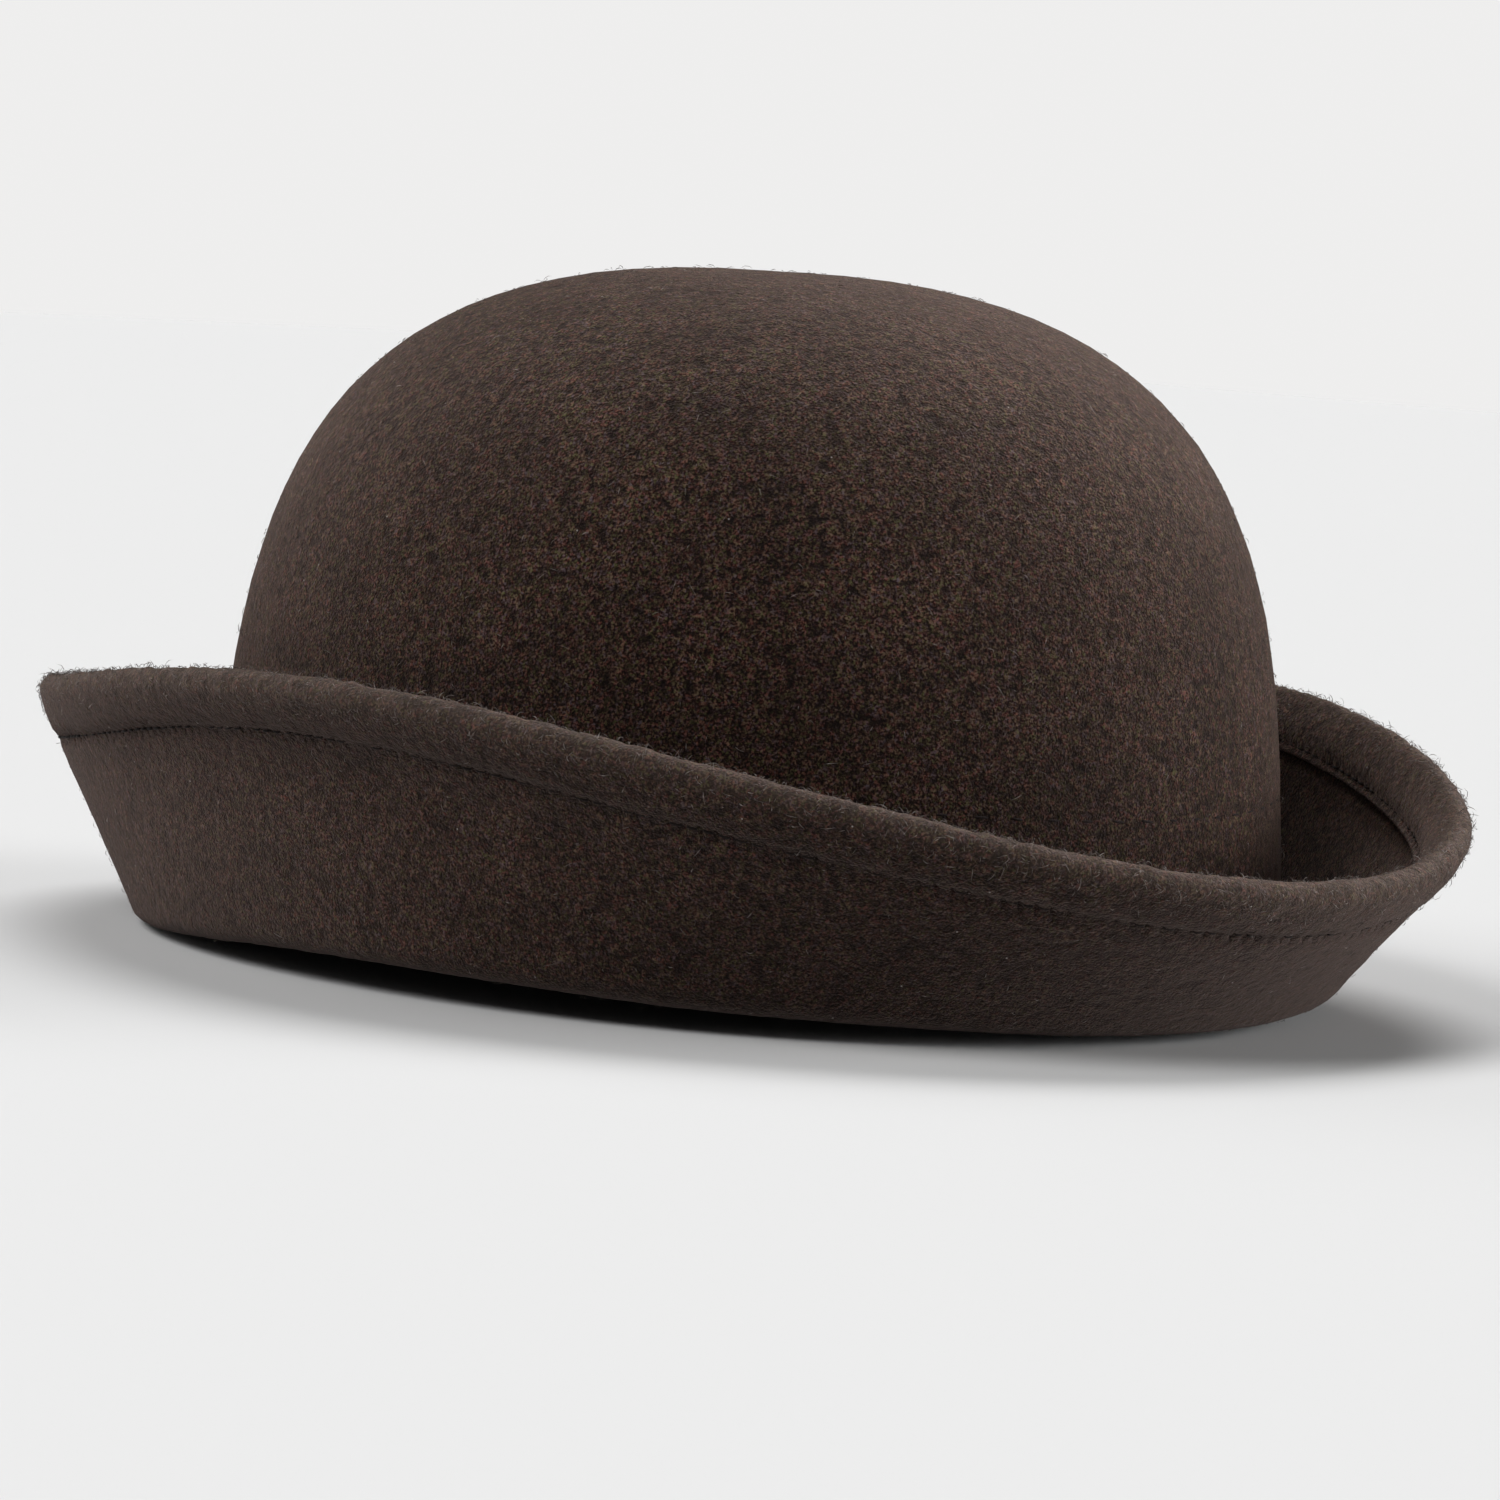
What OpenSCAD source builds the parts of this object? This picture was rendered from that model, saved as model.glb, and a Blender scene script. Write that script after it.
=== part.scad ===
// Bowler hat of wool felt: one blocked hood with a wired, folded brim edge,
// a ribbon sweatband tacked inside the crown, and two blank labels.
// Millimetres. +Z up, front of the hat towards -Y, symmetric about X = 0.
// Origin: centre of the bounding box, on the surface that the brim rests on.

/* [Crown] */
// Half length of the crown at its base, outside, front to back
crown_half_len = 96.5; // [92:0.5:104]
// Half width of the crown at its base, outside
crown_half_wid = 91.5; // [84:0.5:96]
// Height of the crown's top above the crown's base
crown_h = 110; // [100:0.5:125]
// Squareness of the crown's shoulder, sideways (2 is an ellipse)
square_side = 2.55; // [2:0.05:3.2]
// Squareness of the crown's shoulder, upwards (2 is an ellipse)
square_up = 3.6; // [2:0.05:4]
// Share of its width that the crown loses from its base up to its top, before the shoulder
crown_taper = 0.05; // [0:0.005:0.06]

/* [Felt] */
// Thickness of the felt
felt_t = 2; // [1.8:0.1:2.4]
// Gap between the two plies of the folded brim edge, at the wire
ply_gap = 1.2; // [1.2:0.05:1.4]
// Distance of the hem's stitch line from the brim's edge
hem_w = 10.5; // [9:0.5:15]
// Radius of the break, where the crown turns into the brim, on the underside
break_r = 6.7; // [5:0.1:9]

/* [Brim at the front, side and back] */
// Height of the crown's base against the hat's mean level
base_z = [-3.5, 1.5, -1.5]; // [-6:0.5:6]
// Heading of the brim where it leaves the crown, degrees below level
drop_deg = [-20, 65, 15]; // [-25:5:65]
// Length of the shelf between the break and the lower fold
shelf_len = [0.5, 3, 10]; // [0.5:0.5:10]
// Radius of the lower fold, on the underside
fold_r = [8, 4, 5]; // [3.5:0.5:12]

/* [Brim at the front, front quarter, side, rear quarter and back] */
// Heading of the turned-up brim, degrees above level
wall_deg = [40, 64, 78, 66, 47]; // [35:1:80]
// Heading of the hem, degrees above level
hem_deg = [42, 60, 46, 62, 68]; // [35:1:80]
// Length of the brim along the felt, from the crown's base to the edge
brim_len = [50.5, 54, 59, 61, 66]; // [48:0.5:72]

/* [Wire and threads] */
// Diameter of the stiffening wire in the brim's edge
wire_d = 0.7; // [0.6:0.05:0.7]
// Outer diameter of the crimped sleeve that joins the wire's ends
joiner_d = 1.1; // [1:0.02:1.1]
// Length of that sleeve
joiner_len = 12; // [8:1:16]
// Diameter of the sewing thread
thread_d = 0.5; // [0.3:0.05:0.6]

/* [Sweatband] */
// Width of the ribbon
band_w = 28; // [20:1:32]
// Thickness of the ribbon
band_t = 0.7; // [0.5:0.1:1]
// Height of the ribbon's lower edge above the crown's base
band_low = 1; // [0:0.5:3]
// Length over which the ribbon's ends lie one on the other, at the back
band_lap = 18; // [12:1:26]
// Spacing of the tack stitches that show on the crown
tack_pitch = 7; // [5:0.5:9]
// Length of one tack stitch
tack_len = 3; // [2:0.5:4]

/* [Labels] */
// Length of the size label
size_len = 24; // [16:1:30]
// Height of the size label
size_h = 10; // [8:1:14]
// Width of the care label
care_w = 18; // [12:1:20]
// Length of the care label, from its seam down
care_h = 15; // [10:1:18]
// Thickness of both labels
label_t = 0.4; // [0.3:0.05:0.5]

/* [Hidden] */

clear = 0.15;                  // gap that keeps neighbouring pieces apart
wall_gap = 0.4;                // gap from the felt's facets to the ribbon
sections = 72;                 // sections of the felt round the hat
section_deg = 360 / sections;
crown_rows = 13;               // rows from the crown's top to its base
taper_power = 1.75;            // 1 is an even taper; more puts it nearer the base
flare_len = 8.5;               // arc in which the wall turns to the hem's heading
edge_r = felt_t + ply_gap / 2; // outside radius of the folded edge
hem_len = hem_w - edge_r;      // flat part of the hem, stitch line to edge
raw_edge = 1.5;                // felt beyond the stitch line on the turned ply
close_deg = asin((ply_gap - clear) / (hem_len + raw_edge)); // plies meet at the stitches
wire_sides = 8;
thread_sides = 6;
flat_t = 0.3;                  // thickness of a stitch pulled flat on a face
flat_w = 0.5;                  // width of such a stitch
flat_lift = flat_t / 2 + 0.2;  // from the face to the middle of the stitch
tack_h = band_low + band_w - 2; // height of the tack stitches above the base

// --- values that vary round the hat; a is 0 at the front, 90 at +X, 180 at the back

// Smooth cosine curve through three values: front, side and back
function round3(v, a) = (v[0] + v[2] + 2 * v[1]) / 4
    + (v[0] - v[2]) / 2 * cos(a) + (v[0] + v[2] - 2 * v[1]) / 4 * cos(2 * a);

// Smooth cosine curve through five values, 45 degrees apart
function end_half(j) = j == 0 || j == 4 ? 0.5 : 1;
function harmonic(v, k) = end_half(k) / 2 * [for (j = [0:4]) end_half(j)
    * v[j] * cos(45 * j * k)] * [1, 1, 1, 1, 1];
function round5(v, a) = [for (k = [0:4]) harmonic(v, k) * cos(k * a)] * [1, 1, 1, 1, 1];

// --- plan of the head oval

function oval(a) = [crown_half_wid * sin(a), -crown_half_len * cos(a)];
function outward(a) = let (n = [sin(a) / crown_half_wid, -cos(a) / crown_half_len]) n / norm(n);

// Angle whose point of the oval lies dist further along it than angle a
function along_oval(a, dist) = a + dist * 180 / PI
    / norm([crown_half_wid * cos(a), crown_half_len * sin(a)]);

// --- crown: a point depth deep in the felt, at share h of the height

function crown_r(h) = pow(1 - pow(h, square_up), 1 / square_side)
    * (1 - crown_taper * (1 - pow(1 - h, taper_power)));
function crown_pt(a, h, depth = 0) = let (p = (oval(a) - depth * outward(a)) * crown_r(h))
    [p[0], p[1], round3(base_z, a) * (1 - h) + (crown_h - depth) * h];
function height_share(z) = z / crown_h;

// --- brim: a path along the underside, round the edge and down the turned ply

// Steps of an arc: [length, heading of the step, heading after it]
function arc(r, from, to, n) = let (turn = (to - from) / n) [for (i = [0:n - 1])
    [2 * r * sin(abs(turn) / 2), from + turn * (i + 0.5), from + turn * (i + 1)]];
// Steps of a straight stretch
function line(len, heading, n) = [for (i = [1:n]) [len / n, heading, heading]];

function brim_steps(a) = let (
        drop = -round3(drop_deg, a),
        wall = round5(wall_deg, a),
        hem = round5(hem_deg, a),
        shelf = round3(shelf_len, a),
        r = round3(fold_r, a),
        back = hem + 180 + close_deg,
        flare_r = flare_len * 180 / PI / max(abs(hem - wall), 0.01),
        used = (break_r * (drop + 90) + r * (wall - drop)) * PI / 180
            + shelf + flare_len + hem_len)
    concat(arc(break_r, -90, drop, 4),
        line(shelf, drop, 1),
        arc(r, drop, wall, 6),
        line(round5(brim_len, a) - used, wall, 2),
        arc(flare_r, wall, hem, 2),
        line(hem_len, hem, 2),
        arc(edge_r, hem, back, 7),
        line(hem_len, back, 2),
        line(raw_edge, back, 1));
hem_row = 15;    // row of the path at the stitch line on the underside
edge_row = 17;   // row where the folded edge begins
turned_row = 26; // row at the stitch line on the turned ply
last_row = 27;   // row at the raw edge

// Points of the path as [outward, up, heading]
function walk(steps, p = [-felt_t, 0, -90], i = 0) = i == len(steps) ? [p]
    : concat([p], walk(steps, [p[0] + steps[i][0] * cos(steps[i][1]),
        p[1] + steps[i][0] * sin(steps[i][1]), steps[i][2]], i + 1));
function brim_path(a) = walk(brim_steps(a));

// The same point at depth within the felt, measured from the underside
function sunk(p, depth) = [p[0] - depth * sin(p[2]), p[1] + depth * cos(p[2])];
function brim_pt(a, p, depth = 0) = let (q = sunk(p, depth), o = oval(a) + q[0] * outward(a))
    [o[0], o[1], round3(base_z, a) + q[1]];

// --- where the origin lies: under the bounding box's middle, at its lowest point

function lowest(a) = min([for (p = brim_path(a)) brim_pt(a, p)[2]]);
function reach(a) = max([for (p = brim_path(a)) -oval(a)[1] / cos(a) + p[0]]);
floor_z = min([for (i = [0:sections / 2]) lowest(i * 360 / sections)]);
middle_y = (reach(180) - reach(0)) / 2;

module in_place() {
    translate([0, -middle_y, -floor_z]) children();
}

// --- solids swept through rings of points

// Faces between neighbouring rings of n points; closed joins the last to the first
function ring_faces(rings, n, closed) = [for (i = [0:rings - (closed ? 1 : 2)], j = [0:n - 1])
    let (k = (i + 1) % rings, m = (j + 1) % n)
    each [[i * n + j, i * n + m, k * n + m], [i * n + j, k * n + m, k * n + j]]];

// Solid through rings of points; an open one has a flat cap at each end
module loft(rings, closed = false) {
    n = len(rings[0]);
    caps = closed ? [] : [[for (j = [0:n - 1]) n - 1 - j],
        [for (j = [0:n - 1]) (len(rings) - 1) * n + j]];
    polyhedron([for (r = rings) each r], concat(ring_faces(len(rings), n, closed), caps));
}

// Ring of points round one point of a bar's centre line
function bar_ring(p, tangent, r, sides) = let (
        side = cross(tangent, [0, 0, 1]) / norm(cross(tangent, [0, 0, 1])),
        up = cross(side, tangent))
    [for (j = [0:sides - 1]) p + r * (cos(360 * j / sides) * side + sin(360 * j / sides) * up)];

// Rings of a round bar along a list of centres
function bar(centres, r, sides, closed) = let (n = len(centres)) [for (i = [0:n - 1]) let (
        before = centres[closed ? (i + n - 1) % n : max(i - 1, 0)],
        after = centres[closed ? (i + 1) % n : min(i + 1, n - 1)])
    bar_ring(centres[i], (after - before) / norm(after - before), r, sides)];

// Patch of ribbon on the crown's inner wall. Its depth may grow along the way.
module wall_patch(a0, a1, low, high, t, depth_at, n) {
    loft([for (i = [0:n]) let (a = a0 + (a1 - a0) * i / n, d = depth_at(i / n)) concat(
        [for (k = [0:3]) crown_pt(a, height_share(low + (high - low) * k / 3), d)],
        [for (k = [3:-1:0]) crown_pt(a, height_share(low + (high - low) * k / 3), d + t)])]);
}

// Short straight stitch lying along the oval at angle a
module stitch(a, height, depth, size) {
    p = crown_pt(a, height_share(height), depth);
    n = outward(a);
    translate(p) rotate([0, 0, atan2(n[1], n[0]) - 90]) cube(size, center = true);
}

// --- the ribbon's way round the crown

lap_deg = band_lap / crown_half_wid * 180 / PI; // its overlap as an angle
band_from = 180 - lap_deg / 2;     // it starts here, at the back
band_to = band_from + 360 + lap_deg;
rise_deg = 30;                     // angle in which its end climbs onto its start
risen = band_from + 360 - 1.5 * section_deg;

// Depth of its outer face in the crown, at an angle from band_from to band_to
function band_depth(a) = felt_t + wall_gap
    + (band_t + clear) * min(max((a - risen) / rise_deg + 1, 0), 1);
// Depth of the innermost face at an angle from 0 to 360
function inner_face(a) = band_depth(a <= band_to - 360 ? a + 360 : a) + band_t;
label_in = felt_t + wall_gap + band_t + clear; // depth of a label's outer face

// --- the pieces

// Crown and brim: one sheet of felt, its edge folded back towards the crown
module felt_body() {
    tip = 0.04; // the top ring stays this share of a row short of the crown's middle
    rows = [for (k = [0:crown_rows - 1]) pow(cos(90 * (k + tip) / crown_rows), 0.75)];
    angles = [for (i = [0:sections - 1]) i * section_deg];
    rings = [for (a = angles) let (path = brim_path(a)) concat(
        [for (h = rows) crown_pt(a, h, felt_t)],
        [for (p = path) brim_pt(a, p)],
        [for (i = [last_row:-1:0]) brim_pt(a, path[i], felt_t)],
        [for (k = [crown_rows - 1:-1:0]) crown_pt(a, rows[k])])];
    n = len(rings[0]);
    points = [for (r = rings) each r];
    inner_top = len(points);
    outer_top = inner_top + 1;
    color("#4a3a33") in_place() polyhedron(
        concat(points, [[0, 0, crown_h - felt_t], [0, 0, crown_h]]),
        [for (i = [0:sections - 1]) let (k = (i + 1) % sections) each concat(
            [for (j = [0:n - 2]) each [[i * n + j, i * n + j + 1, k * n + j + 1],
                [i * n + j, k * n + j + 1, k * n + j]]],
            [[inner_top, i * n, k * n], [outer_top, k * n + n - 1, i * n + n - 1]])]);
}

// Centre line of the wire, inside the folded edge
function wire_pt(a) = brim_pt(a, brim_path(a)[edge_row], edge_r);
// Point of that line at a distance from the back, on the section towards angle a
function near_back(a, dist) = let (p = wire_pt(180), way = wire_pt(a) - p)
    p + way * dist / norm(way);

// Spring steel wire, its two ends butted at the back inside the sleeve
module brim_wire() {
    butt = 0.2;
    color("#8c8f92") in_place() loft(bar(concat(
        [near_back(180 + section_deg, butt)],
        [for (i = [1:sections - 1]) wire_pt(180 + i * section_deg)],
        [near_back(180 - section_deg, butt)]), wire_d / 2, wire_sides, false));
}

// Line of the sleeve, reaching half either way from the back
function joiner_line(half) = [near_back(180 - section_deg, half), wire_pt(180),
    near_back(180 + section_deg, half)];

module wire_joiner() {
    bore_gap = 0.05;
    color("#b08d57") in_place() difference() {
        loft(bar(joiner_line(joiner_len / 2), joiner_d / 2, wire_sides, false));
        loft(bar(joiner_line(joiner_len / 2 + 1), wire_d / 2 + bore_gap, wire_sides, false));
    }
}

// The lockstitch row: one thread on the underside, one on the turned ply
module hem_stitching() {
    lift = -(thread_d / 2 + 0.1);
    color("#2b211d") in_place() for (row = [hem_row, turned_row])
        loft(bar([for (i = [0:sections - 1]) let (a = i * section_deg)
            brim_pt(a, brim_path(a)[row], lift)], thread_d / 2, thread_sides, true), true);
}

// Ribbon round the inside of the crown; its end lies on its start at the back
module sweatband() {
    turn = band_to - band_from;
    color("#1d1a1a") in_place() wall_patch(band_from, band_to, band_low, band_low + band_w,
        band_t, function (s) band_depth(band_from + turn * s), round(turn / section_deg) + 4);
}

// Tack stitches through the crown and the ribbon's upper edge
module sweatband_stitching() {
    count = round(PI * (crown_half_len + crown_half_wid) / tack_pitch);
    inside_len = 1;
    color("#2b211d") in_place() for (i = [0:count - 1]) let (a = 360 * (i + 0.5) / count) {
        stitch(a, tack_h, -flat_lift, [tack_len, flat_t, flat_w]);
        stitch(a, tack_h, inner_face(a) + flat_lift, [inside_len, flat_t, flat_w]);
    }
}

// Upright row of stitches that closes the ribbon's overlap
module sweatband_join_stitching() {
    pitch = 3;
    a = 180 + lap_deg / 4;
    color("#2b211d") in_place() for (z = [band_low + pitch:pitch:tack_h - pitch])
        stitch(a, z, inner_face(a) + flat_lift, [flat_w, flat_t, 2]);
}

size_a0 = along_oval(180, 22);
size_a1 = along_oval(size_a0, size_len);
size_low = band_low + 8;

// Blank woven label, sewn flat to the ribbon beside its join
module size_label() {
    color("#e6e0d4") in_place() wall_patch(size_a0, size_a1, size_low, size_low + size_h,
        label_t, function (s) label_in, 6);
}

// Thread at the size label's two ends
module size_label_stitching() {
    margin = 1.5;
    color("#f2efe8") in_place()
        for (a = [along_oval(size_a0, margin), along_oval(size_a1, -margin)],
                z = [margin:2 * margin:size_h - 1])
            stitch(a, size_low + z, label_in + label_t + flat_lift, [flat_w, flat_t, 2]);
}

// The care label hangs from a seam at +X. Its flat leaf clears the curved ribbon.
care_bow = pow(care_w / 2, 2) / 2 / (crown_half_len * crown_half_len / crown_half_wid);
care_top = tack_h - 4;
care_x = crown_pt(90, height_share(care_top + 2), label_in + care_bow + flat_t)[0] - label_t / 2;

module care_label() {
    color("#f2efe8") in_place() translate([care_x, 0, care_top - care_h / 2 + base_z[1]])
        cube([label_t, care_w, care_h], center = true);
}

// Thread along the care label's seam
module care_label_stitching() {
    margin = 1.5;
    rise = 0.9; // the lifted leaf passes below the threads
    color("#d9d4c8") in_place() for (y = [margin - care_w / 2:2 * margin:care_w / 2 - 1])
        translate([care_x, y, care_top + rise + base_z[1]])
            cube([flat_t, 2, flat_w], center = true);
}

felt_body();
brim_wire();
wire_joiner();
hem_stitching();
sweatband();
sweatband_stitching();
sweatband_join_stitching();
size_label();
size_label_stitching();
care_label();
care_label_stitching();
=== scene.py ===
import math

import bpy
import numpy as np
from mathutils import Matrix, Vector
from mathutils.kdtree import KDTree


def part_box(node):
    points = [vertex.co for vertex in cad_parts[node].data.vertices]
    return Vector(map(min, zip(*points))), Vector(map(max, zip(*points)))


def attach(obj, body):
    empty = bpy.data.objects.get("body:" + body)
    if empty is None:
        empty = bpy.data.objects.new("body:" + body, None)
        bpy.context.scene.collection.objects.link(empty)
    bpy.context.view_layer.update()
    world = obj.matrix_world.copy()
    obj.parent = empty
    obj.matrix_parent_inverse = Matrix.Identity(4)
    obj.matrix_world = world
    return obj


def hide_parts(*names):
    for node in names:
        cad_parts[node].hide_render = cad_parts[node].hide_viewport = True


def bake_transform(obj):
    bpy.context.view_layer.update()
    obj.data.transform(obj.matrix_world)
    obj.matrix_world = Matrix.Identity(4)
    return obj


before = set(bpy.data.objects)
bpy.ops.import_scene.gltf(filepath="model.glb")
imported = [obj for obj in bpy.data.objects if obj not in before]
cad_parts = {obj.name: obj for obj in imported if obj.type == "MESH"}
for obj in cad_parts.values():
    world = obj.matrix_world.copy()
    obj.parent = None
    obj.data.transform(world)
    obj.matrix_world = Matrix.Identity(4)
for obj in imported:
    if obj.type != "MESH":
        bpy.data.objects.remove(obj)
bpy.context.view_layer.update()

# Bowler hat of wool felt, in metres in the row frame: front towards -Y, +Z up.
# The shape repeats the CAD's rules in millimetres, at a finer step; place() puts it
# in the frame. Angles run from 0 at the front through 90 at +X to 180 at the back.

MM = 0.001
RNG_SEED = 57
BODY = "hat"

# The hat's driving dimensions, in millimetres and degrees, as in the CAD
CROWN_HALF_LEN, CROWN_HALF_WID, CROWN_H = 96.5, 91.5, 110.0
SQUARE_SIDE, SQUARE_UP = 2.55, 3.6
CROWN_TAPER, TAPER_POWER = 0.05, 1.75
FELT_T, PLY_GAP, HEM_W, BREAK_R, FLARE_LEN = 2.0, 1.2, 10.5, 6.7, 8.5
BASE_Z = (-3.5, 1.5, -1.5)
DROP_DEG = (-20, 65, 15)
SHELF_LEN = (0.5, 3, 10)
FOLD_R = (8, 4, 5)
WALL_DEG = (40, 64, 78, 66, 47)
HEM_DEG = (42, 60, 46, 62, 68)
BRIM_LEN = (50.5, 54, 59, 61, 66)
BAND_W, BAND_T, BAND_LOW, BAND_LAP = 28.0, 0.7, 1.0, 18.0
TACK_PITCH, TACK_LEN = 7.0, 3.0
CLEAR, WALL_GAP = 0.15, 0.4
SIZE_LEN, SIZE_H, SIZE_UP, SIZE_FROM_BACK = 24.0, 10.0, 8.0, 22.0
LABEL_T = 0.4

EDGE_R = FELT_T + PLY_GAP / 2
HEM_LEN = HEM_W - EDGE_R
RAW_EDGE = 1.5
CLOSE = math.asin((PLY_GAP - CLEAR) / (HEM_LEN + RAW_EDGE))
TACK_H = BAND_LOW + BAND_W - 2

HEM_STITCHES = 276
COARSE, MIDDLE, FINE = HEM_STITCHES, 2 * HEM_STITCHES, 4 * HEM_STITCHES


# --- where the CAD stands

felt_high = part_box("felt_body")[1]
tack_low, tack_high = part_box("sweatband_stitching")
BASE_LEVEL = felt_high.z / MM - CROWN_H
CENTRE_Y = (tack_low.y + tack_high.y) / 2 / MM


def place(points):
    """Millimetres about the crown's centre at its base, as metres in the row frame."""
    return (np.asarray(points, float) + (0, CENTRE_Y, BASE_LEVEL)) * MM


# --- the hat's shape

def blend(values, a):
    """Cosine curve through equally spaced values from the front to the back."""
    last = len(values) - 1
    ends = np.array([0.5] + [1.0] * (last - 1) + [0.5])
    stops = np.arange(last + 1) * math.pi / last
    curve = 0
    for k in range(last + 1):
        weight = 2 / last * ends[k] * np.sum(ends * values * np.cos(k * stops))
        curve = curve + weight * np.cos(k * a)
    return curve


def oval(a):
    """The crown's outline at its base, in plan."""
    return np.stack([CROWN_HALF_WID * np.sin(a), -CROWN_HALF_LEN * np.cos(a)], -1)


def outward(a):
    """The outline's outward normal, in plan."""
    n = np.stack([np.sin(a) / CROWN_HALF_WID, -np.cos(a) / CROWN_HALF_LEN], -1)
    return n / np.linalg.norm(n, axis=-1, keepdims=True)


def crown_point(a, height, depth):
    """Point depth deep in the crown's felt at a share of its height, 0 at the base."""
    share = np.clip(height, 0, 1)
    r = (1 - share ** SQUARE_UP) ** (1 / SQUARE_SIDE)
    r = r * (1 - CROWN_TAPER * (1 - (1 - share) ** TAPER_POWER))
    plan = (oval(a) - np.asarray(depth)[..., None] * outward(a)) * np.asarray(r)[..., None]
    up = blend(BASE_Z, a) * (1 - share) + (CROWN_H - depth) * share
    return np.concatenate([plan, np.broadcast_to(up, plan.shape[:-1])[..., None]], -1)


def brim_stretches(a):
    """The brim's section at each angle: (length, first heading, last heading) in order."""
    drop = -np.radians(blend(DROP_DEG, a))
    wall = np.radians(blend(WALL_DEG, a))
    hem = np.radians(blend(HEM_DEG, a))
    back = hem + math.pi + CLOSE
    level = np.full_like(a, 1.0)
    shelf = blend(SHELF_LEN, a)
    turn_in = BREAK_R * (drop + math.pi / 2)
    fold = blend(FOLD_R, a) * (wall - drop)
    rise = blend(BRIM_LEN, a) - turn_in - shelf - fold - FLARE_LEN - HEM_LEN
    return {
        "break": (turn_in, -math.pi / 2 * level, drop),
        "shelf": (shelf, drop, drop),
        "fold": (fold, drop, wall),
        "wall": (rise, wall, wall),
        "flare": (FLARE_LEN * level, wall, hem),
        "hem": (HEM_LEN * level, hem, hem),
        "edge": (EDGE_R * (back - hem), hem, back),
        "turned": (HEM_LEN * level, back, back),
        "raw": (RAW_EDGE * level, back, back),
    }


STRETCH_ROWS = {"break": 6, "shelf": 3, "fold": 8, "wall": 8, "flare": 5,
                "hem": 9, "edge": 11, "turned": 8, "raw": 2}


def brim_path(a):
    """Rows of the brim's section from the crown to the raw edge, along its under face:
    distance outwards, height and heading, each an array of rows by angles."""
    u, z, heading = [np.full_like(a, -FELT_T)], [np.zeros_like(a)], [np.full_like(a, -math.pi / 2)]
    marks = {}
    for name, (length, first, last) in brim_stretches(a).items():
        count = STRETCH_ROWS[name]
        turn = (last - first) / count
        chord = length / count * np.sinc(turn / 2 / math.pi)
        for i in range(count):
            mid = first + turn * (i + 0.5)
            u.append(u[-1] + chord * np.cos(mid))
            z.append(z[-1] + chord * np.sin(mid))
            heading.append(first + turn * (i + 1))
        marks[name] = len(u) - 1
    return np.array(u), np.array(z), np.array(heading), marks


def brim_point(a, u, z, heading, depth):
    """Point at a depth in the brim's felt, measured from the under face."""
    out = u - depth * np.sin(heading)
    up = z + depth * np.cos(heading) + blend(BASE_Z, a)
    plan = oval(a) + out[..., None] * outward(a)
    return np.concatenate([plan, up[..., None]], -1)


def angles(count):
    """Equal steps round the hat, from the front."""
    return np.arange(count) * 2 * math.pi / count


# --- relief of the felt: blocking waves, the hem's swell, the pull of the stitches

# Heights of the relief in millimetres
WAVER = 0.16
STITCH_GROOVE, STITCH_HOLE, PUCKER_OVER, PUCKER_UNDER = 0.22, 1.0, 0.14, 0.12
HEM_SWELL = 0.45
LATTICE = 64


def waver(a, along):
    """Slow unevenness of hand-blocked felt, in millimetres. along runs 0 at the top of
    the crown to 2 at the brim's edge."""
    rng = np.random.default_rng(RNG_SEED)
    wave = 0
    for k in (2, 3, 4, 5, 7, 9, 12):
        phase, drift = rng.uniform(0, 2 * math.pi), rng.uniform(-4, 4)
        wave = wave + np.cos(k * a + phase + drift * along) / k ** 0.7
    return WAVER * wave * np.clip(along * 1.6, 0, 1)


def bell(x, width):
    """Smooth hump, 1 at x = 0 and a third at x = width."""
    return np.exp(-(x / width) ** 2)


def stitch_pull(a, across):
    """How far a row of stitches pulls the felt in, at a distance across from the row."""
    beat = np.cos(a * HEM_STITCHES)
    hole = (0.5 + 0.5 * beat) ** 3
    rng = np.random.default_rng(RNG_SEED + 1)
    uneven = 1 + 0.25 * np.cos(17 * a + rng.uniform(0, 6)) + 0.2 * np.cos(41 * a + rng.uniform(0, 6))
    groove = STITCH_GROOVE * bell(across, 1.2)
    holes = STITCH_HOLE * hole * bell(across, 0.75) * uneven
    puckers = PUCKER_OVER * beat * bell(across - 1.4, 1.3) * uneven
    puckers = puckers + PUCKER_UNDER * beat * bell(across + 1.3, 1.2)
    return groove * uneven + holes - puckers


class Lumps:
    """Smooth random field in space, from a repeating lattice of random values."""

    def __init__(self, seed, size):
        self.values = np.random.default_rng(seed).normal(size=(LATTICE,) * 3)
        self.size = size

    def at(self, points):
        spot = points / self.size
        low = np.floor(spot).astype(int)
        share = spot - low
        share = share * share * (3 - 2 * share)
        total = 0
        for corner in np.ndindex(2, 2, 2):
            weight = np.prod(np.where(corner, share, 1 - share), axis=-1)
            x, y, z = np.moveaxis((low + corner) % LATTICE, -1, 0)
            total = total + weight * self.values[x, y, z]
        return total


FINE_LUMPS, BROAD_LUMPS = Lumps(RNG_SEED + 7, 1.5), Lumps(RNG_SEED + 8, 4.0)


def roughen(points, normals, wear_and_highlight):
    """Pushes points along the normals by the felt's knobbly relief, most at the edge."""
    fine = FINE_LUMPS.at(points) * (0.05 + 0.13 * wear_and_highlight)
    broad = BROAD_LUMPS.at(points) * (0.05 + 0.07 * wear_and_highlight)
    return points + normals * (fine + broad)[:, None]


def hem_swell(across):
    """The doubled hem stands proud between the stitches and the edge."""
    share = np.clip(across / HEM_LEN, 0, 1)
    return HEM_SWELL * np.sin(math.pi * share) ** 0.8


# --- meshes

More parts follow.
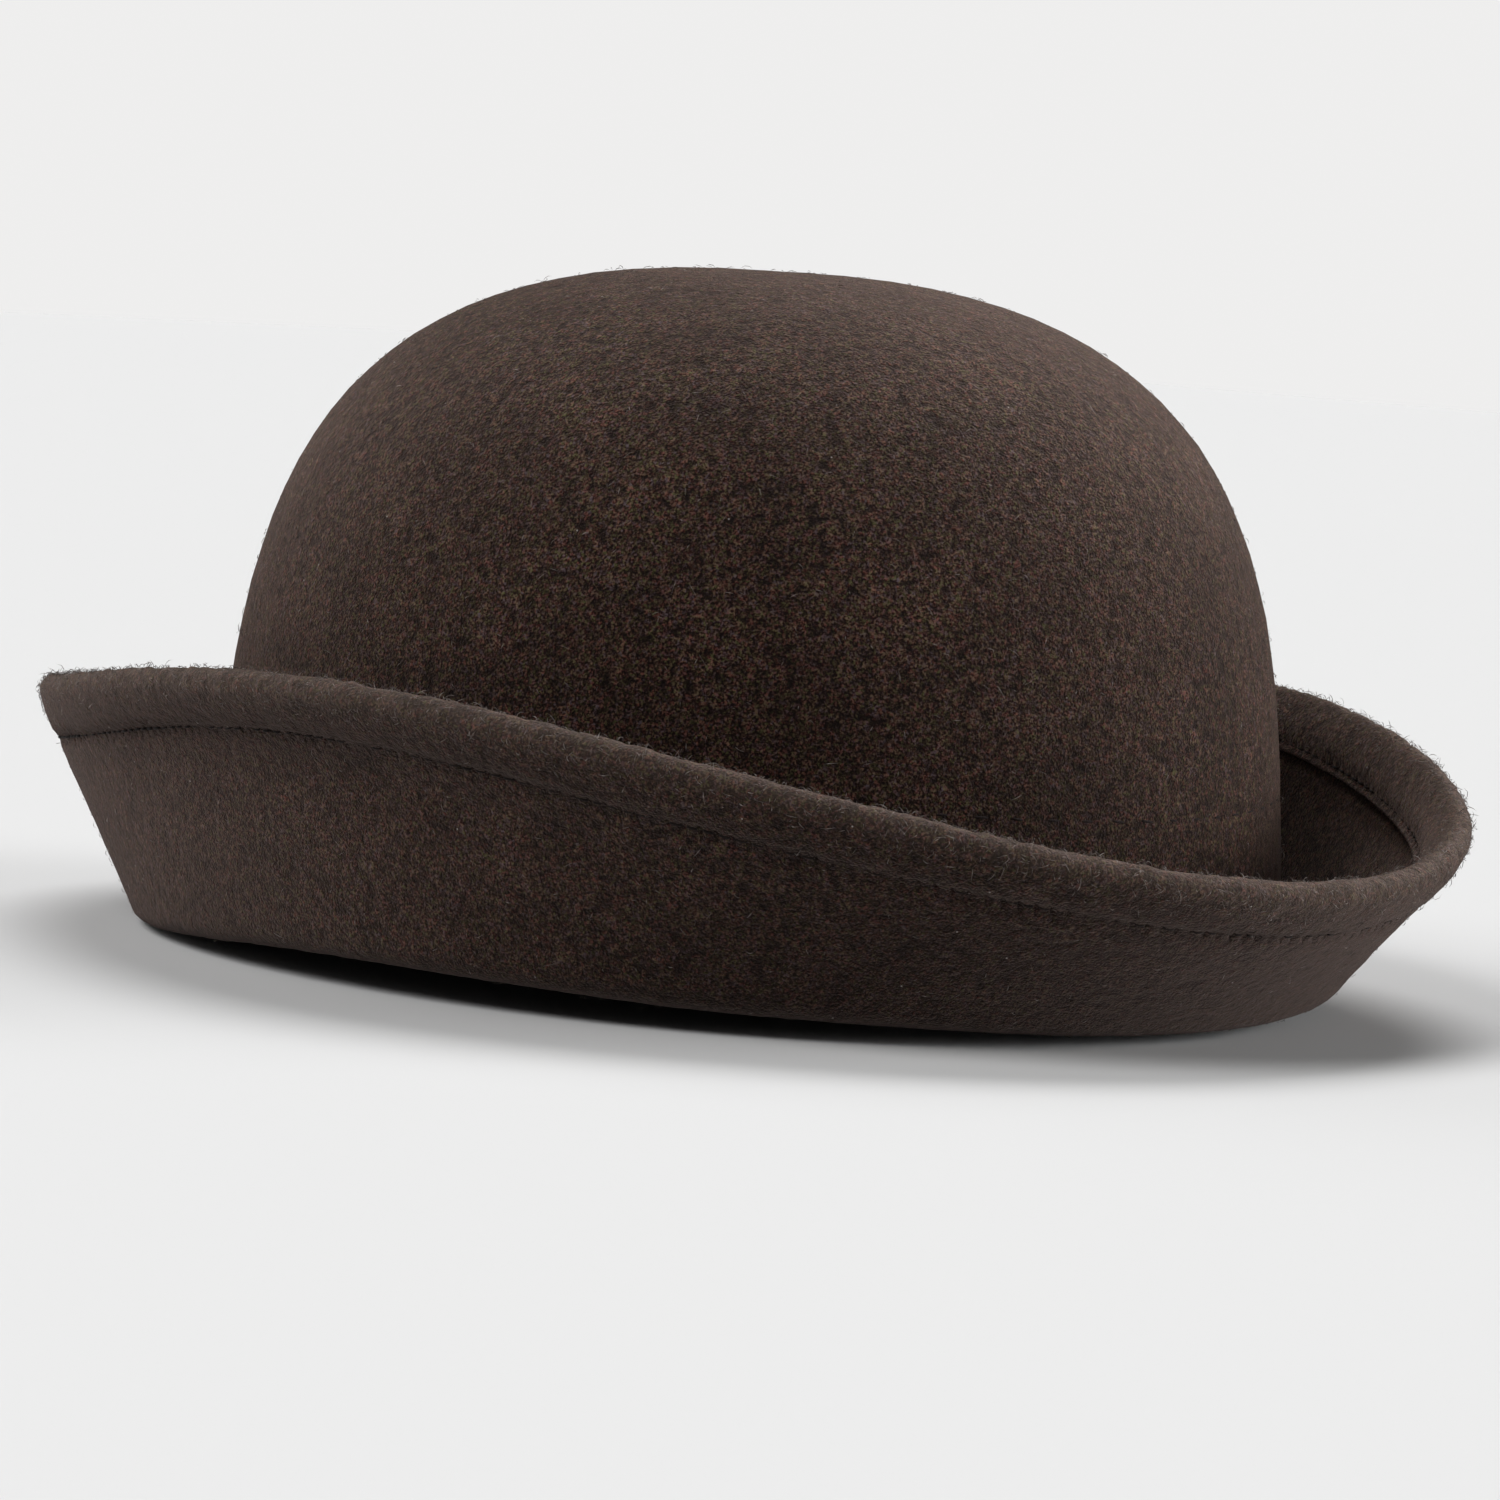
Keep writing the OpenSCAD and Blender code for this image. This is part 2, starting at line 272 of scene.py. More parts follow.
def strip(first, second):
    """Faces between two closed rows of vertices given as index arrays. One row may have
    a whole number of times the other's vertices."""
    if len(second) < len(first):
        return [face[::-1] for face in strip(second, first)]
    ratio = len(second) // len(first)
    a, b = first, np.roll(first, -1)
    after = np.roll(second, -1)
    if ratio == 1:
        return np.stack([a, second, after, b], 1).tolist()
    corners = [(a if j < ratio // 2 else b, second[j::ratio], after[j::ratio]) for j in range(ratio)]
    corners.append((a, second[ratio // 2::ratio], b))
    return np.concatenate([np.stack(corner, 1) for corner in corners]).tolist()


def surface_of_rows(rows):
    """Vertices and faces of a closed surface through rows of points; the first and the
    last row are single points."""
    starts = np.cumsum([0] + [len(r) for r in rows])
    index = [np.arange(s, s + len(r)) for s, r in zip(starts, rows)]
    faces = []
    for first, second in zip(index, index[1:]):
        if len(first) == 1:
            faces += [[first[0], b, c] for b, c in zip(second, np.roll(second, -1))]
        elif len(second) == 1:
            faces += [[second[0], c, b] for b, c in zip(first, np.roll(first, -1))]
        else:
            faces += strip(first, second)
    return np.concatenate(rows), [face[::-1] for face in faces]


def new_mesh(name, points, faces):
    """A smooth-shaded mesh."""
    mesh = bpy.data.meshes.new(name)
    mesh.from_pydata(np.asarray(points).tolist(), [], faces)
    mesh.polygons.foreach_set("use_smooth", [True] * len(mesh.polygons))
    mesh.update()
    return mesh


def set_attribute(mesh, name, values):
    """A value for each vertex, which a material can read."""
    mesh.attributes.new(name, "FLOAT", "POINT").data.foreach_set("value", values)


def joined(parts):
    """Vertices and faces of several meshes as one."""
    points, faces, count = [], [], 0
    for part_points, part_faces in parts:
        faces += [[v + count for v in face] for face in part_faces]
        points.append(part_points)
        count += len(part_points)
    return np.concatenate(points), faces


def add_piece(name, mesh, material, body, nodes=()):
    """A piece of the hat: its material, the body it moves with and what it stands for.
    A piece that bends between two bodies is given none here."""
    piece = bpy.data.objects.new(name, mesh)
    bpy.context.scene.collection.objects.link(piece)
    mesh.materials.append(material)
    if body:
        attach(piece, body)
    if nodes:
        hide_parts(*nodes)
    return piece


# --- the felt body

INSIDE_ROWS, OUTSIDE_ROWS = 16, 26
TACK_DIMPLE, TACK_REACH, TACK_SPARE = 0.22, 2.1, 3.2
RIM_STEPS = 720


def tack_angles():
    """Where the tack stitches lie round the crown."""
    count = round(math.pi * (CROWN_HALF_LEN + CROWN_HALF_WID) / TACK_PITCH)
    return 2 * math.pi * (np.arange(count) + 0.5) / count


def crown_rows(count, face_depth, sections, tacked):
    """Rows of one face of the crown from the top to the base, with their wear."""
    a = angles(sections)
    shares = np.cos(np.linspace(0, math.pi / 2, count + 1)[1:-1]) ** 0.75
    heights = shares * CROWN_H
    if tacked:
        near = TACK_H + np.linspace(-TACK_REACH, TACK_REACH, 7)
        far = heights[np.abs(heights - TACK_H) > TACK_SPARE]
        heights = np.sort(np.concatenate([far, near]))[::-1]
    tacks = tack_angles()
    away = np.abs(a[:, None] - tacks[None, :]).min(1) * CROWN_HALF_WID
    dimple = 1 / (1 + np.exp((away - TACK_LEN / 2) / 0.35))
    rows = []
    for height in heights:
        share = height / CROWN_H
        depth = face_depth - waver(a, 1 - share)
        if tacked:
            depth = depth + TACK_DIMPLE * dimple * bell(height - TACK_H, 0.8)
        rows.append(crown_point(a, share, depth))
    return rows


def hem_distance(u, z, marks):
    """Distance of each of the brim's rows from the stitches, along the ply it lies on."""
    last = marks["raw"]
    run = np.zeros(last + 1)
    for i in range(marks["wall"] + 1, last + 1):
        run[i] = run[i - 1] + np.hypot(u[i] - u[i - 1], z[i] - z[i - 1]).mean()
    run -= run[marks["flare"]]
    return np.where(np.arange(last + 1) <= marks["edge"], run, run[marks["turned"]] - run)


def felt_rows():
    """The felt's whole surface as rows: the crown's inside from the top down, the brim's
    under face, round the edge, the turned ply, and back up to the top outside."""
    a = angles(FINE)
    u, z, heading, marks = brim_path(a)
    last = marks["raw"]
    along = 1 + np.arange(last + 1) / last
    wave = waver(a[None, :], along[:, None]) * np.linspace(1, 0.5, last + 1)[:, None]
    across = hem_distance(u, z, marks)

    def under(i):
        depth = -wave[i]
        if i > marks["wall"]:
            depth = depth - hem_swell(across[i]) + stitch_pull(a, across[i])
        return brim_point(a, u[i], z[i], heading[i], depth)

    def upper(i):
        return brim_point(a, u[i], z[i], heading[i], FELT_T - wave[i])

    def count(i):
        return FINE if i > marks["wall"] else MIDDLE

    rows = [np.array([[0, 0, CROWN_H - FELT_T]])]
    rows += crown_rows(INSIDE_ROWS, FELT_T, COARSE, False)
    rows += [under(i)[::FINE // count(i)] for i in range(last + 1)]
    hidden = marks["hem"]
    rows += [upper(i)[::FINE // COARSE] for i in range(last, hidden - 1, -2)]
    rows += [upper(i)[::FINE // MIDDLE] for i in range(hidden - 1, -1, -1)]
    rows += crown_rows(OUTSIDE_ROWS, 0.0, MIDDLE, True)[::-1]
    rows.append(np.array([[0, 0, CROWN_H]]))
    return rows


def rim_line():
    """Points along the brim's folded edge, at equal angles."""
    ring = angles(RIM_STEPS)
    u, z, heading, marks = brim_path(ring)
    middle = (marks["hem"] + marks["edge"]) // 2
    return brim_point(ring, u[middle], z[middle], heading[middle], 0.0)


def rim_step(points):
    """Which point of the rim line lies at each point's angle."""
    a = np.arctan2(points[:, 0] / CROWN_HALF_WID, -points[:, 1] / CROWN_HALF_LEN)
    return np.round(np.mod(a, 2 * math.pi) / (2 * math.pi) * RIM_STEPS).astype(int) % RIM_STEPS


def wear_and_highlight_of(points):
    """Rubbing of the felt along the brim's folded edge, from 0 to 1, which the material also lightens as a
    painted highlight.
    """
    return bell(np.linalg.norm(points - rim_line()[rim_step(points)], axis=1), 3.2)


def hole_shade_of(points):
    """How near each point is to a needle hole of the hem, from 0 to 1; the material paints shade there."""
    rng = np.random.default_rng(RNG_SEED + 6)
    dark = rng.uniform(0.3, 1.0, 2 * HEM_STITCHES)
    centres = KDTree(len(dark))
    rows = [surface - 0.5 * normal for surface, normal in map(hem_row_frames, ("flare", "turned"))]
    for index, centre in enumerate(np.concatenate(rows)[::FINE // HEM_STITCHES]):
        centres.insert(centre, index)
    centres.balance()
    found = [centres.find(point) for point in points]
    away = np.array([distance for _, _, distance in found])
    return bell(away, 0.95) * dark[[index for _, index, _ in found]]


def make_felt_body(material):
    """The hood as one closed surface, with the values that its material reads."""
    points, faces = surface_of_rows(felt_rows())
    mesh = new_mesh("felt_body_detail", points, faces)
    normals = np.empty(len(points) * 3)
    mesh.vertices.foreach_get("normal", normals)
    normals = normals.reshape(-1, 3)
    worn_and_highlit = wear_and_highlight_of(points)
    mesh.vertices.foreach_set("co", place(roughen(points, normals, worn_and_highlit)).ravel())
    mesh.update()
    # The rim mask roughens the felt and, in the material, lightens it: partly rubbing, partly painted
    # highlight
    set_attribute(mesh, "wear_and_highlight", worn_and_highlit)
    # Painted shade: the felt is darker the more its face points down, as if lit from above; upward faces a
    # touch lighter
    set_attribute(mesh, "facing_shade", np.clip(0.55 + 0.6 * normals[:, 2], 0, 1))
    set_attribute(mesh, "hole", hole_shade_of(points))
    return add_piece("felt_body_detail", mesh, material, BODY, ["felt_body"])


# --- the ribbon and the labels

LAP = BAND_LAP / CROWN_HALF_WID
BAND_FROM = math.pi - LAP / 2
BAND_TO = BAND_FROM + 2 * math.pi + LAP
BAND_RISE = math.radians(30)
BAND_RISEN = BAND_FROM + 2 * math.pi - math.radians(7.5)
BAND_RIBS = 640
BAND_BOW = 0.35
BAND_ROWS = np.array([0, 0.2, 0.5, 0.8, 1.1, 3, 7, 11, 15, 19, 22, 24.5, 26, 26.9, 27.2, 27.5, 27.8, 28])
RIB_HEIGHT = 0.12


def ribbon_depth(a):
    """Depth of the ribbon's outer face in the crown, along its way from start to end."""
    climb = np.clip((a - BAND_RISEN) / BAND_RISE + 1, 0, 1)
    return FELT_T + WALL_GAP + (BAND_T + CLEAR) * climb


def ribbon_bow(a, up):
    """How far the ribbon's free lower part stands inwards; up is 0 at its lower edge."""
    return BAND_BOW * np.clip(1 - up, 0, 1) ** 2 * (1 + 0.5 * np.cos(5 * a + 1) + 0.3 * np.cos(11 * a))


def ribbon_face(a, height):
    """Depth of the innermost face of the ribbon, at an angle from 0 to a full turn."""
    lapped = np.where(a <= BAND_TO - 2 * math.pi, a + 2 * math.pi, a)
    return ribbon_depth(lapped) + BAND_T + ribbon_bow(a, (height - BAND_LOW) / BAND_W)


def slab(front, back):
    """Vertices and faces of a closed sheet between two grids of points of one size."""
    rows, columns = front.shape[:2]
    index = np.arange(rows * columns).reshape(rows, columns)
    behind = index + rows * columns
    a, b, c, d = index[:-1, :-1], index[:-1, 1:], index[1:, 1:], index[1:, :-1]
    quads = [np.stack([d, c, b, a], -1).reshape(-1, 4)]
    quads.append(np.stack([a, b, c, d], -1).reshape(-1, 4) + rows * columns)
    for edge, other in ((index[0], behind[0]), (index[-1][::-1], behind[-1][::-1]),
                        (index[::-1, 0], behind[::-1, 0]), (index[:, -1], behind[:, -1])):
        quads.append(np.stack([edge[1:], other[1:], other[:-1], edge[:-1]], -1))
    return np.concatenate([front.reshape(-1, 3), back.reshape(-1, 3)]), np.concatenate(quads).tolist()


def make_sweatband(material):
    """Ribbed ribbon with plain selvedges, once round the crown and lapped at the back."""
    way = np.linspace(BAND_FROM, BAND_TO, BAND_RIBS * 4 + 1)
    a = np.mod(way, 2 * math.pi)
    rib = np.abs(np.sin(np.linspace(0, math.pi * BAND_RIBS, len(way)))) ** 0.8
    tack = bell((np.mod(a / (2 * math.pi) * len(tack_angles()), 1) - 0.5) * TACK_PITCH, 1.2)
    front, back = [], []
    for up in BAND_ROWS:
        height = BAND_LOW + up / BAND_ROWS[-1] * BAND_W
        edge = min(up, BAND_W - up)
        plain = bell(max(edge - 0.4, 0), 0.6)
        rounded = 0.12 * bell(edge, 0.2)
        outer = ribbon_depth(way) + ribbon_bow(a, up / BAND_W)
        pulled = 0.2 * tack * bell(height - TACK_H, 1.0)
        ribbed = RIB_HEIGHT * rib * (1 - plain) + 0.1 * plain
        inner = outer + BAND_T - RIB_HEIGHT + ribbed - rounded - pulled
        front.append(crown_point(a, height / CROWN_H, inner))
        back.append(crown_point(a, height / CROWN_H, outer + rounded))
    points, faces = slab(np.array(front), np.array(back))
    mesh = new_mesh("sweatband_ribbon", place(points), faces)
    piece = add_piece("sweatband_ribbon", mesh, material, BODY, ["sweatband"])


def size_label_angles():
    """The size label's two ends on the oval, and its middle height."""
    reach = []
    start = math.pi
    for distance in (SIZE_FROM_BACK, SIZE_LEN):
        radius = math.hypot(CROWN_HALF_WID * math.cos(start), CROWN_HALF_LEN * math.sin(start))
        start += distance / radius
        reach.append(start)
    return reach[0], reach[1], BAND_LOW + SIZE_UP


def make_size_label(material):
    """Blank woven tape with turned-under ends and a woven border."""
    first, last, low = size_label_angles()
    along = np.linspace(0, SIZE_LEN, 97)
    a = first + (last - first) * along / SIZE_LEN
    end = np.minimum(along, SIZE_LEN - along)
    front, back = [], []
    for up in np.linspace(0, SIZE_H, 41):
        edge = np.minimum(end, min(up, SIZE_H - up))
        fold = 0.10 / (1 + np.exp((end - 2.4) / 0.12))
        border = 0.05 * bell(edge - 1.0, 0.22)
        top = LABEL_T - 0.14 + fold + border - 0.2 * bell(edge, 0.16)
        face = ribbon_face(a, low + up) + 0.03
        front.append(crown_point(a, (low + up) / CROWN_H, face + top))
        back.append(crown_point(a, (low + up) / CROWN_H, face))
    points, faces = slab(np.array(front), np.array(back))
    mesh = new_mesh("size_label_woven", place(points), faces)
    piece = add_piece("size_label_woven", mesh, material, BODY, ["size_label"])


CARE_SEWN = 2.4   # length of the care label above its crease, sewn to the ribbon


def care_place():
    """The care label's leaf in millimetres about the crown: x, half width, crease and
    lower edge."""
    low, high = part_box("care_label")
    return ((low.x + high.x) / 2 / MM, (high.y - low.y) / 2 / MM,
            high.z / MM - BASE_LEVEL, low.z / MM - BASE_LEVEL)


def care_rows():
    """The care label's middle surface: sewn strip, crease, and leaf curling a little."""
    x, half, crease, bottom = care_place()
    across = np.linspace(-half, half, 33)
    a = math.pi / 2 + across / CROWN_HALF_LEN
    rows = []
    for up in np.concatenate([np.linspace(CARE_SEWN, 0.15, 9), np.linspace(0, bottom - crease, 31)]):
        height = crease + up
        seated = crown_point(a, height / CROWN_H, ribbon_face(a, height - blend(BASE_Z, a)) + 0.22)[:, 0]
        share = np.clip(up / CARE_SEWN, 0, 1)
        share = share * share * (3 - 2 * share)
        hang = np.clip(-up / (crease - bottom), 0, 1)
        curl = 0.9 * hang ** 2 + 0.25 * hang * np.cos(across / half * 2.2 + 0.6)
        row_x = seated * share + (x - curl) * (1 - share)
        rows.append(np.stack([row_x, across, np.full_like(across, height)], -1))
    return np.array(rows)


def make_care_label(material):
    """Folded satin tape: its top strip is sewn down, and the rest hangs below the crease as a leaf that
    curls a little.
    """
    rows = care_rows()
    thick = 0.16 * np.ones(rows.shape[:2])
    thick[:, [0, -1]] = 0.09
    thick[[0, -1], :] = 0.07
    out = np.stack([thick, 0 * thick, 0 * thick], -1)
    points, faces = slab(rows + out, rows - out)
    mesh = new_mesh("care_label_satin", place(points), faces)
    piece = add_piece("care_label_satin", mesh, material, None, ["care_label"])
    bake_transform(piece)


# --- threads: many small copies of one thread shape

def thread_shape(rings, sides, blunt):
    """A short closed length of thread: place along it, across, up, and share of the arch."""
    t = np.linspace(-1, 1, rings)
    turn = angles(sides)
    thick = (1 - np.abs(t) ** blunt) ** 0.5
    points = [(-1.0, 0, 0, 0)]
    for x, r in list(zip(t, thick))[1:-1]:
        points += [(x, r * math.cos(w), r * math.sin(w), 1 - x * x) for w in turn]
    points.append((1.0, 0, 0, 0))
    last = len(points) - 1
    faces = [(0, 1 + (j + 1) % sides, 1 + j) for j in range(sides)]
    for i in range(rings - 3):
        low, high = 1 + i * sides, 1 + (i + 1) * sides
        for j in range(sides):
            k = (j + 1) % sides
            faces.append((low + j, low + k, high + k, high + j))
    top = last - sides
    faces += [(last, top + j, top + (j + 1) % sides) for j in range(sides)]
    return np.array(points), faces


def unit(v):
    """Vectors of length one."""
    return v / np.linalg.norm(v, axis=-1, keepdims=True)


def scatter(shape, centre, along, out, length, radius, arch):
    """Copies of a thread shape. Sizes may be numbers or one value for each copy."""
    template, faces = shape
    count = len(centre)
    along, out = unit(along), unit(out)
    side = unit(np.cross(out, along))
    out = np.cross(along, side)
    length, radius, arch = (np.broadcast_to(v, count)[:, None, None] for v in (length, radius, arch))
    x, y, z, bow = (template[None, :, k, None] for k in range(4))
    points = (centre[:, None] + along[:, None] * x * length / 2 + side[:, None] * y * radius
              + out[:, None] * (z * radius + bow * arch))
    step = len(template)
    all_faces = [[i * step + v for v in face] for i in range(count) for face in faces]
    return points.reshape(-1, 3), all_faces


SEWN_DEPTH = 0.42   # how deep the hem's rows of stitches lie in the felt


def hem_row_frames(row_name):
    """Points along one row of the hem's stitches, and the felt's outward normal there."""
    a = angles(FINE)
    u, z, heading, marks = brim_path(a)
    i = marks[row_name]
    wave = waver(a, 1 + i / marks["raw"]) * (1 - 0.5 * i / marks["raw"])
    surface = brim_point(a, u[i], z[i], heading[i], SEWN_DEPTH - wave)
    deeper = brim_point(a, u[i], z[i], heading[i], SEWN_DEPTH + 1 - wave)
    return surface, surface - deeper


def make_hem_stitching(material):
    """Lockstitches on both faces of the hem, each diving into its holes."""
    rng = np.random.default_rng(RNG_SEED + 2)
    step = FINE // HEM_STITCHES
    middles = slice(step // 2, None, step)
    parts = []
    for row_name in ("flare", "turned"):
        surface, normal = hem_row_frames(row_name)
        centre, out = surface[middles], normal[middles]
        along = (np.roll(surface, -1, 0) - np.roll(surface, 1, 0))[middles]
        along = unit(along) + 0.05 * rng.normal(size=along.shape)
        pitch = np.linalg.norm(np.roll(centre, -1, 0) - centre, axis=1)
        front = 0.5 + 0.5 * np.cos(angles(FINE)[middles])
        centre = centre - unit(out) * (rng.uniform(-0.15, 0.12, len(pitch)) + 0.25 * front)[:, None]
        length = pitch * rng.uniform(0.6, 0.85, len(pitch))
        parts.append(scatter(thread_shape(7, 6, 6), centre, along, out, length, 0.25, 0.16))
    points, faces = joined(parts)
    mesh = new_mesh("hem_lockstitches", place(points), faces)
    add_piece("hem_lockstitches", mesh, material, BODY, ["hem_stitching"])


def make_tack_stitching(material):
    """Tack stitches: long ones on the crown, short ones on the ribbon inside."""
    rng = np.random.default_rng(RNG_SEED + 3)
    a = tack_angles()
    share = TACK_H / CROWN_H
    step = 0.002
    parts = []
    sets = ((0.28 - waver(a, 1 - share), TACK_LEN * rng.uniform(0.75, 1.15, len(a)), 1),
            (ribbon_face(a, TACK_H) - 0.1, 1.2, -1))
    for depth, length, facing in sets:
        centre = crown_point(a, share, depth)
        along = crown_point(a + step, share, depth) - crown_point(a - step, share, depth)
        out = np.concatenate([outward(a), np.zeros((len(a), 1))], 1) * facing
        along = unit(along) + np.stack([0 * a, 0 * a, 0.05 * rng.normal(size=len(a))], 1)
        parts.append(scatter(thread_shape(6, 6, 6), centre, along, out, length, 0.2, 0.1))
    points, faces = joined(parts)
    mesh = new_mesh("sweatband_tack_stitches", place(points), faces)
    add_piece("sweatband_tack_stitches", mesh, material, BODY, ["sweatband_stitching"])


def make_stitches(name, centre, along, out, length, material, nodes):
    """Short stitches, which all run the same way."""
    along = np.broadcast_to(along, centre.shape)
    points, faces = scatter(thread_shape(7, 6, 6), centre, along, out, length, 0.16, 0.08)
    mesh = new_mesh(name, place(points), faces)
    add_piece(name, mesh, material, BODY, nodes)


def make_join_stitching(material):
    """The upright row that closes the ribbon's lap."""
    heights = np.arange(BAND_LOW + 3, TACK_H - 2.9, 3.0)
    a = np.full_like(heights, math.pi + LAP / 4)
    centre = crown_point(a, heights / CROWN_H, ribbon_face(a, heights) + 0.05)
    out = -np.concatenate([outward(a), 0 * a[:, None]], 1)
    make_stitches("sweatband_join_stitches", centre, (0.03, 0, 1), out, 2.3, material,
                  ["sweatband_join_stitching"])


def make_size_label_stitching(material):
    """An upright row near each end of the size label."""
    first, last, low = size_label_angles()
    margin = 1.5 / SIZE_LEN * (last - first)
    heights = np.tile(low + np.arange(1.5, SIZE_H - 0.9, 3.0), 2)
    a = np.repeat([first + margin, last - margin], len(heights) // 2)
    centre = crown_point(a, heights / CROWN_H, ribbon_face(a, heights) + LABEL_T + 0.05)
    out = -np.concatenate([outward(a), 0 * a[:, None]], 1)
    make_stitches("size_label_stitches", centre, (0, 0, 1), out, 2.2, material,
                  ["size_label_stitching"])


def make_care_label_stitching(material):
    """The seam across the care label's sewn strip."""
    half = care_place()[1]
    row = care_rows()[3]
    across = np.arange(1.5 - half, half - 0.9, 3.0)
    centre = np.stack([np.interp(across, row[:, 1], row[:, 0]) - 0.2, across,
                       np.full_like(across, row[0, 2])], -1)
    out = np.broadcast_to((-1, 0, 0), centre.shape)
    make_stitches("care_label_stitches", centre, (0, 1, 0), out, 2.4, material,
                  ["care_label_stitching"])


# --- nap: loose fibres that stand off the felt

NAP_EDGE, NAP_FACE = 10500, 5500
EDGE_LIFT, FACE_LIFT = (0.05, 0.75), (0.02, 0.28)
SHORTEST, LONGEST = 0.4, 2.8
THINNEST, THICKEST = 0.03, 0.065


def sample_surface(mesh, weights, count, rng):
    """Random points on a mesh, with the surface's normal there."""
    total = len(mesh.polygons)
    area, centre, normal = np.empty(total), np.empty(total * 3), np.empty(total * 3)
    mesh.polygons.foreach_get("area", area)
    mesh.polygons.foreach_get("center", centre)
    mesh.polygons.foreach_get("normal", normal)
    share = area * weights(centre.reshape(-1, 3), normal.reshape(-1, 3))
    chosen = rng.choice(total, count, p=share / share.sum())
    jitter = rng.normal(size=(count, 3)) * np.sqrt(area[chosen])[:, None] * 0.3
    out = normal.reshape(-1, 3)[chosen]
    jitter -= out * (jitter * out).sum(1)[:, None]
    return centre.reshape(-1, 3)[chosen] + jitter, out


def make_nap(felt, material):
    """Fine fibres, thickest along the brim's edge."""
    rng = np.random.default_rng(RNG_SEED + 5)
    rim = place(rim_line())

    def edge_weight(points, normals):
        mm = points / MM - (0, CENTRE_Y, BASE_LEVEL)
        return bell(np.linalg.norm(points - rim[rim_step(mm)], axis=1) / MM, 4.0)

    def face_weight(points, normals):
        mm = points / MM - (0, CENTRE_Y, BASE_LEVEL)
        inside = (mm[:, 2] > 0) & ((normals[:, :2] * mm[:, :2]).sum(1) + normals[:, 2] * mm[:, 2] < 0)
        return np.where(inside, 0.05, 1.0)

    edge, edge_out = sample_surface(felt.data, edge_weight, NAP_EDGE, rng)
    face, face_out = sample_surface(felt.data, face_weight, NAP_FACE, rng)
    root, out = np.concatenate([edge, face]) / MM, np.concatenate([edge_out, face_out])
    count = len(root)
    loose = rng.normal(size=(count, 3))
    lift = np.concatenate([rng.uniform(*EDGE_LIFT, NAP_EDGE), rng.uniform(*FACE_LIFT, NAP_FACE)])
    along = unit(unit(loose - out * (loose * out).sum(1)[:, None]) + out * lift[:, None])
    length = np.clip(rng.lognormal(0.0, 0.45, count), SHORTEST, LONGEST)
    centre = root + along * length[:, None] * 0.44
    radius, arch = rng.uniform(THINNEST, THICKEST, count), rng.uniform(0.02, 0.3, count) * length
    above_floor = centre[:, 2] - length * 0.8 > 0
    kept = [v[above_floor] for v in (centre, along, out, length, radius, arch)]
    points, faces = scatter(thread_shape(4, 3, 4), *kept)
    mesh = new_mesh("felt_nap_fibres", points * MM, faces)
    add_piece("felt_nap_fibres", mesh, material, BODY)


# --- materials

def new_material(name, base, roughness, sheen=0.0, tint=(1, 1, 1), specular=0.3, metallic=0.0):
    """A principled material, with its shader and its node tree."""
    material = bpy.data.materials.new(name)
    material.use_nodes = True
    tree = material.node_tree
    shader = tree.nodes["Principled BSDF"]
    shader.inputs["Base Color"].default_value = (*base, 1)
    shader.inputs["Roughness"].default_value = roughness
    shader.inputs["Specular IOR Level"].default_value = specular
    shader.inputs["Metallic"].default_value = metallic
    shader.inputs["Sheen Weight"].default_value = sheen
    shader.inputs["Sheen Roughness"].default_value = 0.5
    shader.inputs["Sheen Tint"].default_value = (*tint, 1)
    return material, tree, shader


def feed(tree, socket, value):
    """Links a socket to another one, or sets its value."""
    if isinstance(value, bpy.types.NodeSocket):
        tree.links.new(value, socket)
    else:
        socket.default_value = value


def node(tree, kind, **values):
    """A node with its inputs fed by name."""
    made = tree.nodes.new(kind)
    for key, value in values.items():
        feed(tree, made.inputs[key], value)
    return made


def object_place(tree):
    """Place on the object, in metres."""
    return node(tree, "ShaderNodeTexCoord").outputs["Object"]


def noise(tree, scale, detail=4.0, roughness=0.6, distortion=0.0, squeeze=(1, 1, 1)):
    """Noise texture; squeeze is its scale along each axis."""
    spot = node(tree, "ShaderNodeMapping", Vector=object_place(tree), Scale=squeeze).outputs[0]
    return node(tree, "ShaderNodeTexNoise", Vector=spot, Scale=scale, Detail=detail,
                Roughness=roughness, Distortion=distortion)


def ramp(tree, source, stops):
    """Colour ramp from (place, colour) stops."""
    made = tree.nodes.new("ShaderNodeValToRGB")
    tree.links.new(source, made.inputs[0])
    while len(made.color_ramp.elements) < len(stops):
        made.color_ramp.elements.new(0.5)
    for element, (position, colour) in zip(made.color_ramp.elements, stops):
        element.position = position
        element.color = (*colour, 1)
    return made.outputs[0]


def mix(tree, factor, first, second, mode="MIX"):
    """Mix of two colours; each may be a colour or a socket."""
    made = tree.nodes.new("ShaderNodeMix")
    made.data_type = "RGBA"
    made.blend_type = mode
    feed(tree, made.inputs[0], factor)
    for socket, colour in ((made.inputs[6], first), (made.inputs[7], second)):
        feed(tree, socket, (*colour, 1) if isinstance(colour, tuple) else colour)
    return made.outputs[2]


def math_node(tree, operation, first, second):
    """Result of a sum on two values; each may be a number or a socket."""
    made = tree.nodes.new("ShaderNodeMath")
    made.operation = operation
    feed(tree, made.inputs[0], first)
    feed(tree, made.inputs[1], second)
    return made.outputs[0]


def bump(tree, shader, height, distance, strength):
    """Fine relief that is too small for the mesh."""
    made = node(tree, "ShaderNodeBump", Strength=strength, Distance=distance, Height=height)
    tree.links.new(made.outputs[0], shader.inputs["Normal"])


def attribute(tree, name):
    """The mesh's own value, from set_attribute."""
    made = tree.nodes.new("ShaderNodeAttribute")
    made.attribute_name = name
    return made.outputs["Fac"]


def first_channel(tree, colour):
    """The red part of a colour, as one value."""
    made = tree.nodes.new("ShaderNodeSeparateColor")
    tree.links.new(colour, made.inputs[0])
    return made.outputs[0]


